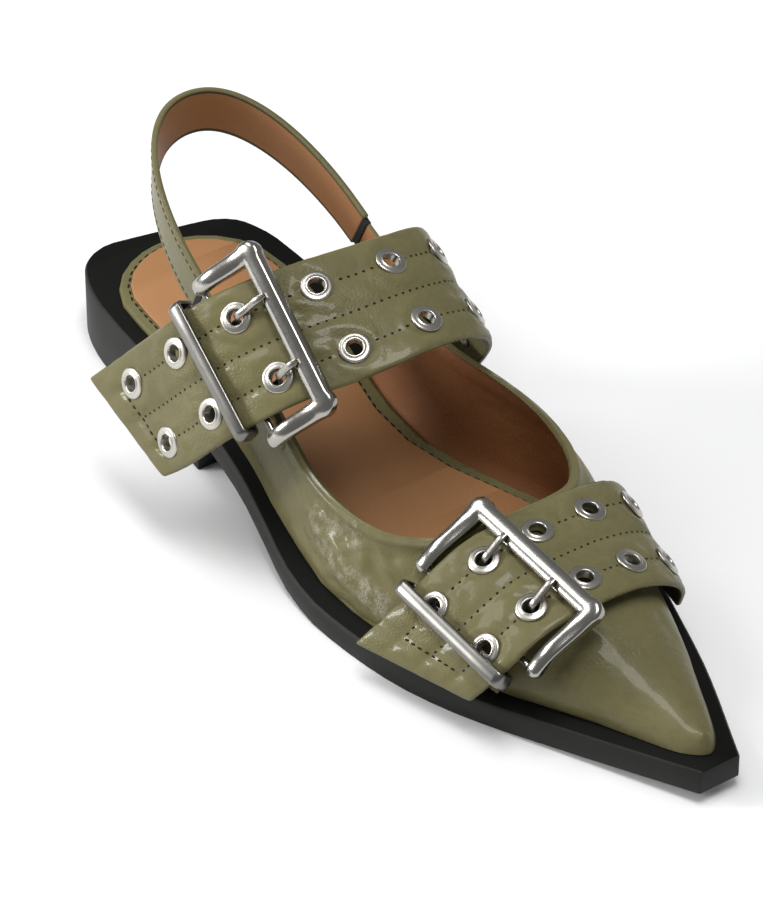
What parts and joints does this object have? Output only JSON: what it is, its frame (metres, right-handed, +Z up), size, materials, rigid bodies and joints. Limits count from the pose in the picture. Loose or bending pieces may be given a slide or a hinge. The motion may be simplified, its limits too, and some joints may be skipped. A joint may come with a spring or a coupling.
{
  "type": "buckle ballet flat",
  "caption": "Right pointed-toe leather flat with wide eyelet straps and large buckles, an open back held by a heel band, and a low block heel.",
  "frame": {"origin": "on the floor under the heel, on the heel's flat tread", "axes": "+X from heel to toe, +Y to the inner (big toe) side, +Z up from the floor"},
  "size_m": [0.2903, 0.109, 0.0945],
  "materials": {
    "olive_leather": "glossy crinkled leather",
    "tan_leather": "smooth lining leather",
    "black_rubber": "satin moulded sole",
    "polished_metal": "polished silver"
  },
  "bodies": {
    "root": {"outsole": "black_rubber", "sock": "tan_leather", "insole": "olive_leather", "upper": "olive_leather", "vamp_strap": "olive_leather", "instep_strap": "olive_leather", "vamp_chape": "olive_leather", "instep_chape": "olive_leather", "sling_strap": "olive_leather", "sling_tab_lateral": "olive_leather", "sling_tab_medial": "olive_leather", "vamp_buckle": "polished_metal", "instep_buckle": "polished_metal", "vamp_keeper": "polished_metal", "instep_keeper": "polished_metal", "vamp_prong_rear": "polished_metal", "vamp_prong_front": "polished_metal", "instep_prong_rear": "polished_metal", "instep_prong_front": "polished_metal", "vamp_eyelet_rear_1": "polished_metal", "vamp_eyelet_rear_2": "polished_metal", "vamp_eyelet_rear_3": "polished_metal", "vamp_eyelet_rear_4": "polished_metal", "vamp_eyelet_rear_5": "polished_metal", "vamp_eyelet_front_1": "polished_metal", "vamp_eyelet_front_2": "polished_metal", "vamp_eyelet_front_3": "polished_metal", "vamp_eyelet_front_4": "polished_metal", "vamp_eyelet_front_5": "polished_metal", "instep_eyelet_rear_1": "polished_metal", "instep_eyelet_rear_2": "polished_metal", "instep_eyelet_rear_3": "polished_metal", "instep_eyelet_rear_4": "polished_metal", "instep_eyelet_rear_5": "polished_metal", "instep_eyelet_rear_6": "polished_metal", "instep_eyelet_rear_7": "polished_metal", "instep_eyelet_rear_8": "polished_metal", "instep_eyelet_front_1": "polished_metal", "instep_eyelet_front_2": "polished_metal", "instep_eyelet_front_3": "polished_metal", "instep_eyelet_front_4": "polished_metal", "instep_eyelet_front_5": "polished_metal", "instep_eyelet_front_6": "polished_metal", "instep_eyelet_front_7": "polished_metal", "instep_eyelet_front_8": "polished_metal"}
  },
  "joints": []
}
